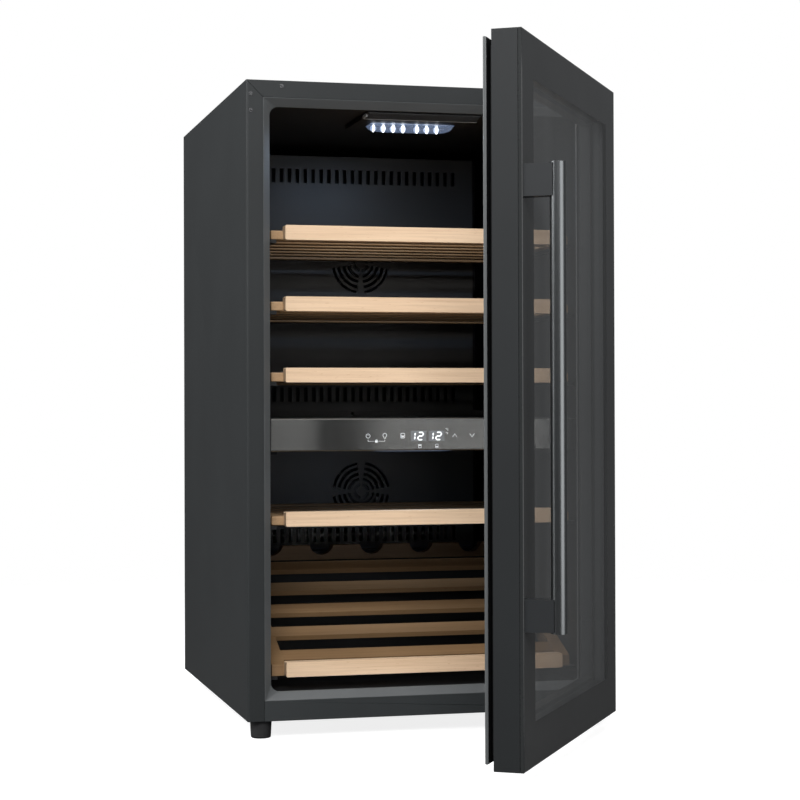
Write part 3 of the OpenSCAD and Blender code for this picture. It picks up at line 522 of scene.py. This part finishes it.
def flange_screws():
    """The hinge screws and those in the spare holes, each turned by another angle."""
    bm = bmesh.new()
    head = screw_mesh(HEAD_R * MM, HEAD_H * MM, SHANK * MM)
    for index, (low, high) in enumerate(clusters("flange_screws", 3 * MM)):
        seat = Vector(((low.x + high.x) / 2, low.y + HEAD_H * MM, (low.z + high.z) / 2))
        turned = Matrix.Translation(seat) @ Matrix.Rotation(math.radians(20 + 37 * index), 4, "Y")
        copy = head.copy()
        copy.transform(turned)
        bm.from_mesh(copy)
        bpy.data.meshes.remove(copy)
    mesh = to_mesh("flange_screw_heads", bm)
    piece = show("flange_screw_heads", mesh, BLACK_METAL, "cabinet")
    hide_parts("flange_screws")


flange_screws()

# ---------- lamps ----------

LED_PITCH = 13.8
LED_PLACES = [LED_PITCH * i for i in (-3.7, -2.7, -1.7, -0.7, 0.7, 1.7, 2.7)]
LENS_CORNER = 0.34
COLLAR, LOWER_LENS = 3, 2.6
CORE, SPILL = (2.4, 1.2), (4.2, 0.96)


def lens_point(low, high, t, a):
    """A point on the boat-shaped lens: t runs -1 to 1 along it, a from 0 to pi round it, front to back."""
    middle, half = (low + high) / 2, (high - low) / 2
    swell = max((1 - abs(t) ** (2 / LENS_CORNER)) ** LENS_CORNER, 0.02)
    return Vector((middle.x + t * half.x,
                   middle.y - math.cos(a) * half.y * (0.72 + 0.28 * swell),
                   high.z - math.sin(a) ** 0.7 * 2 * half.z * swell))


def lens_piece(name, low, high):
    """Clear boat-shaped cover: a rounded section that runs out to nothing at rounded ends."""
    bm = bmesh.new()
    steps, around = 36, 20
    rings = [[lens_point(low, high, -1 + 2 * i / steps, math.pi * k / around) for k in range(around + 1)]
             for i in range(steps + 1)]
    loft(bm, rings, caps=False)
    return show(name, to_mesh(name, bm), LENS, "cabinet")


def led_glow(name, low, high):
    """The LEDs as the lens shows them: an upright white core inside a wider bluish spill, for each LED."""
    bm = bmesh.new()
    y, middle, tall = (low.y + high.y) / 2, (low.z + high.z) / 2, (high.z - low.z) / 2
    lean = Matrix.Rotation(0.35, 4, "X")
    for x in LED_PLACES:
        slim = 0.6 if x == LED_PLACES[0] else 1.0
        for index, half, height in ((0, CORE[0] * slim, CORE[1]), (1, *SPILL)):
            place = (Matrix.Translation((x * MM, y + index * 2 * MM, middle)) @ lean
                     @ Matrix.Diagonal((half * MM, 4 * MM, tall * height, 1)))
            made = bmesh.ops.create_uvsphere(bm, u_segments=20, v_segments=12, radius=1.0, matrix=place)
            for face in {f for v in made["verts"] for f in v.link_faces}:
                face.material_index = index
    show(name, to_mesh(name, bm), [LED, LED_SPILL], "cabinet")


LENS_BOXES = sorted(clusters("lamp_lenses", 20 * MM, (2,)), key=lambda box: box[0].z)
LENSES = dict(zip(("lower", "upper"), LENS_BOXES))
for name, (low, high) in LENSES.items():
    # the collar in the recess isn't drawn, and the divider hides all of the lower lens but its bottom
    high = Vector((high.x, high.y, high.z - COLLAR * MM))
    if name == "lower":
        low = Vector((low.x, low.y, high.z - LOWER_LENS * MM))
    lens = lens_piece(f"lamp_lens_{name}", low, high)
    if name == "upper":
        led_glow("led_row", low, high)
        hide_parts("lamp_lenses")


RAMP_BACK, RIBS = 45, 6


def lamp_ribs():
    """Ribs up the housing's front ramp, a lip along its lower edge and its left end cap. The lip and end cap
    are pale as a painted highlight, and the ribs lighter than the housing as painted light.
    """
    low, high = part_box("lamp_housing")
    front, back = low.y, spot(0, RAMP_BACK, 0).y
    top = high.z - 1.5 * MM
    x0, x1 = low.x + 2.5 * MM, high.x - 2.5 * MM
    bm = bmesh.new()
    for k in range(RIBS):
        t = (k + 0.5) / RIBS
        y, z = front + (back - front) * t, top + (low.z - top) * t
        add_box(bm, (x0, y - 1.2 * MM, z - 0.9 * MM), (x1, y + 1.2 * MM, z + MM))
    lip = ((low.x + MM, back - 1.4 * MM, low.z - 0.9 * MM), (high.x - MM, back + 1.6 * MM, low.z + MM))
    end = ((low.x - 0.6 * MM, front + 8 * MM, low.z - 0.4 * MM), (low.x + 1.6 * MM, back, high.z - 2 * MM))
    for corners in (lip, end):
        add_box(bm, *corners, 1)
    # ribs in painted-light plastic, lip and end cap in painted-highlight plastic
    finishes = [LAMP_RIB_PAINTED_LIGHT, LAMP_PAINTED_HIGHLIGHT]
    piece = show("lamp_housing_ribs", to_mesh("ribs", bm), finishes, "cabinet")
    bevelled(piece, 0.4 * MM)


lamp_ribs()

# ---------- control panel: generic symbols and digits ----------

PANEL_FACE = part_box("control_panel")[0].y - 0.12 * MM
GLYPH_LIFT = 0.1 * MM


def stroke(bm, points, width, closed=False):
    """A ribbon of even width along points (x, z) in millimetres, on the panel's face."""
    path = [Vector(p) for p in points]
    if closed:
        path.append(path[0])
    for a, b in zip(path, path[1:]):
        along = (b - a).normalized()
        side = Vector((-along.y, along.x)) * width / 2
        a2, b2 = a - along * width / 2, b + along * width / 2
        corners = (a2 + side, b2 + side, b2 - side, a2 - side)
        bm.faces.new([bm.verts.new((p.x * MM, PANEL_FACE, p.y * MM)) for p in corners])


def arc(x, z, r, start, end, steps=20):
    """Points (x, z) on a circle, from one angle in degrees to another."""
    return [(x + r * math.cos(math.radians(start + (end - start) * i / steps)),
             z + r * math.sin(math.radians(start + (end - start) * i / steps))) for i in range(steps + 1)]


def rounded(x0, z0, x1, z1, r):
    """Outline of a rectangle with rounded corners."""
    return (arc(x1 - r, z1 - r, r, 0, 90, 5) + arc(x0 + r, z1 - r, r, 90, 180, 5)
            + arc(x0 + r, z0 + r, r, 180, 270, 5) + arc(x1 - r, z0 + r, r, 270, 360, 5))


SEGMENTS = {"1": "bc", "2": "abged"}
STROKE, SEGMENT_GAP, SLANT = 1.7, 0.35, 0.1


def digit(bm, value, x, z, w, h):
    """One seven-segment digit with its lower left corner at (x, z)."""
    ends = {
        "a": ((0, h), (w, h)), "b": ((w, h), (w, h / 2)), "c": ((w, h / 2), (w, 0)), "d": ((0, 0), (w, 0)),
        "e": ((0, 0), (0, h / 2)), "g": ((0, h / 2), (w, h / 2)),
    }
    for segment in SEGMENTS[value]:
        (ax, az), (bx, bz) = ends[segment]
        a, b = Vector((ax, az)), Vector((bx, bz))
        along = (b - a).normalized()
        side = Vector((-along.y, along.x)) * STROKE / 2
        a, b = a + along * SEGMENT_GAP, b - along * SEGMENT_GAP
        tip = along * STROKE / 2
        shape = (a, a + tip + side, b - tip + side, b, b - tip - side, a + tip - side)
        bm.faces.new([bm.verts.new(((x + p.x + SLANT * p.y) * MM, PANEL_FACE - GLYPH_LIFT, (z + p.y) * MM))
                      for p in shape])


def glyph_piece(name, bm, material):
    """Thickens flat glyphs a little, so that each is a closed solid."""
    piece = show(name, to_mesh(name, bm), material, "cabinet")
    solid = piece.modifiers.new("thickness", "SOLIDIFY")
    solid.thickness, solid.offset = GLYPH_LIFT, 0


POWER_X, LOCK_X, BULB_X = -80.5, -69.2, -58
SYMBOLS_Z, DIGITS_Z, DIGIT_H = 19.5, 14.2, 9.6
WINDOWS, WINDOWS_Z = ((-22.8, -1.6), (1.6, 22.8)), (12.4, 26.0)


def control_symbols():
    """Touch symbols, two temperatures and the faint windows behind them, by their height on the panel."""
    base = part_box("control_panel")[0].z / MM
    row = base + SYMBOLS_Z
    bm = bmesh.new()
    # power: open ring and bar
    stroke(bm, arc(POWER_X, row, 2.7, -235, 55), 0.5)
    stroke(bm, [(POWER_X, row + 0.8), (POWER_X, row + 3.4)], 0.5)
    # bulb: ring and base
    stroke(bm, arc(BULB_X, row + 0.8, 2.5, -60, 240), 0.5)
    stroke(bm, [(-59.2, row - 1.6), (-59.2, row - 3.1), (-56.8, row - 3.1), (-56.8, row - 1.6)], 0.45)
    # bracket under both, with the child lock in its middle
    stroke(bm, [(POWER_X, row - 4.6), (POWER_X, row - 7.0), (-71.8, row - 7.0)], 0.35)
    stroke(bm, [(BULB_X, row - 4.9), (BULB_X, row - 7.0), (-66.6, row - 7.0)], 0.35)
    for k in range(4):
        stroke(bm, [(-70.6, row - 8.3 + 0.7 * k), (-67.8, row - 8.3 + 0.7 * k)], 0.75)
    stroke(bm, arc(LOCK_X, row - 5.6, 0.95, 0, 180, 8), 0.4)
    # zone selector: two-compartment cabinet
    stroke(bm, rounded(-36.4, row - 3.0, -31.2, row + 3.2, 1.0), 0.55, True)
    stroke(bm, [(-36.4, row + 0.4), (-31.2, row + 0.4)], 0.5)
    stroke(bm, [(-35.0, row - 1.3), (-32.6, row - 1.3)], 1.3)
    # arrows
    stroke(bm, [(33.9, row - 1.9), (36.9, row + 2.1), (39.9, row - 1.9)], 0.5)
    stroke(bm, [(57.7, row + 2.1), (60.7, row - 1.9), (63.7, row + 2.1)], 0.5)
    # unit marks: small rings with an arc and an arm
    for z, closed in ((27.4, False), (22.2, True)):
        stroke(bm, arc(25.3, base + z + 1.2, 0.45, 0, 360, 10), 0.25)
        if closed:
            stroke(bm, [(26.6, base + z - 1.2), (26.6, base + z + 1.0), (27.9, base + z + 1.0)], 0.3)
            stroke(bm, [(26.6, base + z), (27.6, base + z)], 0.3)
        else:
            stroke(bm, arc(27.5, base + z, 1.1, 50, 310, 12), 0.3)
    # which zone each number is for
    for x, filled in ((-10.6, 1), (12.4, 0)):
        stroke(bm, rounded(x - 1.9, base + 3.6, x + 1.9, base + 8.2, 0.6), 0.4, True)
        stroke(bm, [(x - 1.2, base + 5.0 + 1.9 * filled), (x + 1.2, base + 5.0 + 1.9 * filled)], 1.3)
    glyph_piece("touch_symbols", bm, SYMBOL)
    bm = bmesh.new()
    for x in (-21.6, 3.0):
        digit(bm, "1", x - 1.8, base + DIGITS_Z, 5.6, DIGIT_H)
        digit(bm, "2", x + 8.2, base + DIGITS_Z, 6.6, DIGIT_H)
    glyph_piece("temperature_digits", bm, DIGIT)
    bm = bmesh.new()
    bottom, top = ((base + z) * MM for z in WINDOWS_Z)
    for x0, x1 in WINDOWS:
        add_box(bm, (x0 * MM, PANEL_FACE, bottom), (x1 * MM, PANEL_FACE + GLYPH_LIFT, top))
    show("digit_windows", to_mesh("digit_windows", bm), DIGIT_GLOW, "cabinet")


control_symbols()

# ---------- door ----------

BORDER_W, BACK_BORDER_W = 50 * MM, 42 * MM
ARRIS = 0.7 * MM


def outer_glass():
    """The outer pane: bevelled slab whose printed border is opaque round a smoked window.

    The back's border is narrower, so that it stays hidden behind the front's at any angle.
    """
    low, high = closed_box("door_glass_outer")
    bm = bmesh.new()
    for y, rim, border in ((low.y, low.y + ARRIS, BORDER_W), (high.y, high.y - ARRIS, BACK_BORDER_W)):
        xs = [low.x, low.x + ARRIS, low.x + border, high.x - border, high.x - ARRIS, high.x]
        zs = [low.z, low.z + ARRIS, low.z + border, high.z - border, high.z - ARRIS, high.z]
        grid = {}
        for i, x in enumerate(xs):
            for k, z in enumerate(zs):
                outer = i in (0, 5) or k in (0, 5)
                grid[i, k] = bm.verts.new((x, rim if outer else y, z))
        for i in range(5):
            for k in range(5):
                face = bm.faces.new((grid[i, k], grid[i + 1, k], grid[i + 1, k + 1], grid[i, k + 1]))
                edge = i in (0, 4) or k in (0, 4)
                face.material_index = 1 if i == k == 2 else 2 if edge else 0
    rims = [e for e in bm.edges if e.is_boundary]
    made = bmesh.ops.bridge_loops(bm, edges=rims)
    for face in made["faces"]:
        face.material_index = 2
    piece = show("glass_front", to_mesh("glass_front", bm), [BORDER, WINDOW, GLASS_EDGE], "door", DOOR)
    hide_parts("door_glass_outer")


LIP_INSET = 6.5


def gasket():
    """Extruded gasket: a root in the groove, a neck, and a lip that ends in a rounded bead.

    The neck, and the lip's faces towards the door, take a much darker rubber that is painted shade.
    """
    low, high = closed_box("door_gasket")
    out = LIP_INSET * MM
    low, high = Vector((low.x - out, low.y, low.z - out)), Vector((high.x + out, high.y, high.z + out))
    face = high.y / MM
    lip = [(20.5, -6.0), (18.6, -5.0), (15.6, -4.6), (10.4, -4.6), (8.0, -4.6), (6.9, -4.1),
           (6.5, -3.2), (6.5, -1.1), (6.9, -0.3), (7.8, 0.0), (9.2, -0.1), (10.4, -0.6), (12.4, -0.1),
           (14.0, 0.0), (22.6, 0.0), (24.4, -0.5), (24.9, -1.6), (24.2, -2.6), (22.2, -3.4)]
    neck = [(20.2, -7.6), (18.6, -8.6), (19.2, -10.4), (21.4, -11.2), (21.4, -11.7), (18.2, -11.8),
            (19.1, -12.6), (18.4, -13.4), (18.4, -15.8), (18.8, -16.4), (15.2, -16.4), (15.6, -15.8),
            (15.6, -13.4), (14.9, -12.6), (15.8, -11.8), (12.6, -11.7), (12.6, -11.2), (14.8, -10.4),
            (15.6, -8.6), (15.4, -6.6)]
    bm = bmesh.new()
    frame_sweep(bm, low, high, [(i * MM, (y + face) * MM) for i, y in lip])
    bmesh.ops.recalc_face_normals(bm, faces=bm.faces)
    # faces turned towards the door get the near-black rubber as painted shade
    for side in bm.faces:
        towards_door = side.normal.y < -0.6
        side.material_index = int(towards_door)
    frame_sweep(bm, low, high, [(i * MM, (y + face) * MM) for i, y in neck], 1)
    mesh = to_mesh("gasket_profile", bm)
    piece = show("gasket_profile", mesh, [RUBBER, PAINTED_SHADE_RUBBER], "door", DOOR)
    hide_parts("door_gasket")


outer_glass()
gasket()

# ---------- stage, light and camera ----------

ROOM = [(0.0, (0.11, 0.112, 0.114)), (0.3, (0.24, 0.246, 0.252))]
FLOOR_R, FADE_FROM, FADE_TO = 2.4, 0.9, 2.3
LAMP_POWERS, LAMP_BLUE = {"lower": 0.12, "upper": 0.5}, (0.55, 0.72, 1.0)
EYE = (-0.6891, -2.8126, 0.4195)
YAW, PITCH, ROLL = (math.radians(a) for a in (14.361, 0.324, -0.179))
FOCAL, SENSOR = 90.32, 36


def area_light(name, at, look, size, power, color=(1, 1, 1)):
    """A rectangular soft light, its size in metres and its power in watts."""
    data = bpy.data.lights.new(name, "AREA")
    data.shape, (data.size, data.size_y) = "RECTANGLE", size
    data.energy, data.color = power, color
    light = bpy.data.objects.new(name, data)
    light.location = at
    light.rotation_euler = (Vector(look) - Vector(at)).to_track_quat("-Z", "Y").to_euler()
    bpy.context.scene.collection.objects.link(light)


def surround():
    """White to the camera, and to everything else a soft half-lit room, brighter from the horizon up."""
    world = bpy.data.worlds.new("studio")
    bpy.context.scene.world = world
    world.use_nodes = True
    tree = world.node_tree
    room = tree.nodes["Background"]
    height = tree.nodes.new("ShaderNodeSeparateXYZ")
    tree.links.new(tree.nodes.new("ShaderNodeTexCoord").outputs["Generated"], height.inputs[0])
    ramp = tree.nodes.new("ShaderNodeValToRGB")
    for element, (place, color) in zip(ramp.color_ramp.elements, ROOM):
        element.position, element.color = place, (*color, 1)
    tree.links.new(height.outputs["Z"], ramp.inputs[0])
    tree.links.new(ramp.outputs["Color"], room.inputs["Color"])
    white = tree.nodes.new("ShaderNodeBackground")
    white.inputs["Color"].default_value = (1, 1, 1, 1)
    path = tree.nodes.new("ShaderNodeLightPath")
    mix = tree.nodes.new("ShaderNodeMixShader")
    tree.links.new(path.outputs["Is Camera Ray"], mix.inputs[0])
    tree.links.new(room.outputs[0], mix.inputs[1])
    tree.links.new(white.outputs[0], mix.inputs[2])
    tree.links.new(mix.outputs[0], tree.nodes["World Output"].inputs["Surface"])


def floor():
    """A pale floor that fades out into the surround, and that reflects little onto the object."""
    s = Shader("floor", (0.9, 0.9, 0.9), 0.7, Specular_IOR_Level=0.0)
    path = s.node("ShaderNodeLightPath").outputs["Is Camera Ray"]
    s.put(s.bsdf, "Base Color", s.ramp(path, [(0.0, (0.13, 0.13, 0.13)), (1.0, (0.42, 0.42, 0.42))]))
    s.put(s.bsdf, "Emission Color", s.ramp(path, [(0.0, (0, 0, 0)), (1.0, (0.84, 0.84, 0.84))]))
    s.put(s.bsdf, "Emission Strength", 1.0)
    far = s.node("ShaderNodeVectorMath", {"operation": "LENGTH"})
    s.tree.links.new(s.node("ShaderNodeTexCoord").outputs["Object"], far.inputs[0])
    fade = s.node("ShaderNodeMapRange", {"interpolation_type": "SMOOTHSTEP"}, Value=far.outputs["Value"],
                  From_Min=FADE_FROM, From_Max=FADE_TO, To_Min=1.0, To_Max=0.0)
    s.put(s.bsdf, "Alpha", fade.outputs["Result"])
    bm = bmesh.new()
    bmesh.ops.create_circle(bm, cap_ends=True, segments=96, radius=FLOOR_R)
    disc = bpy.data.objects.new("floor", to_mesh("floor", bm))
    disc.data.materials.append(s.material)
    disc.location = (0, 0, CAD_BOX[0][2])
    bpy.context.scene.collection.objects.link(disc)


def lights():
    """A high soft key, fill from the left, a strip and a wall that edge the handle, and the two lamps."""
    area_light("key", (-0.9, -3.2, 2.3), (-0.05, -0.25, 0.4), (1.6, 1.0), 104)
    area_light("left", (-2.2, -0.4, 1.8), (-0.1, 0.0, 0.5), (1.6, 1.6), 60)
    area_light("left_strip", (-2.3, -0.45, 0.5), (0, -0.72, 0.43), (0.3, 2.2), 5)
    area_light("right_wall", (1.32, -2.6, 0.75), (0.0, -0.6, 0.43), (2.0, 1.9), 26)
    area_light("top", (0.1, -0.5, 3.0), (0.1, -0.1, 0.4), (2.4, 2.4), 30)
    for name, power in LAMP_POWERS.items():
        low, high = LENSES[name]
        y = (low.y + high.y) / 2
        area_light(f"lamp_{name}", (0, y, low.z - 3 * MM), (0, y + 0.03, 0), (0.11, 0.03), power, LAMP_BLUE)


def camera():
    """The photograph's view: from the left of the door's free edge, at half height."""
    ahead = Vector((math.sin(YAW) * math.cos(PITCH), math.cos(YAW) * math.cos(PITCH), math.sin(PITCH)))
    right = Vector((math.cos(YAW), -math.sin(YAW), 0))
    up = right.cross(ahead)
    turned_right = right * math.cos(ROLL) + up * math.sin(ROLL)
    turned_up = up * math.cos(ROLL) - right * math.sin(ROLL)
    data = bpy.data.cameras.new("camera")
    data.sensor_width, data.lens, data.clip_end = SENSOR, FOCAL, 50
    made = bpy.data.objects.new("camera", data)
    axes = Matrix((turned_right, turned_up, -ahead)).transposed().to_4x4()
    made.matrix_world = Matrix.Translation(EYE) @ axes
    bpy.context.scene.collection.objects.link(made)
    bpy.context.scene.camera = made


surround()
floor()
lights()
camera()
bpy.context.scene.view_settings.view_transform = "Standard"
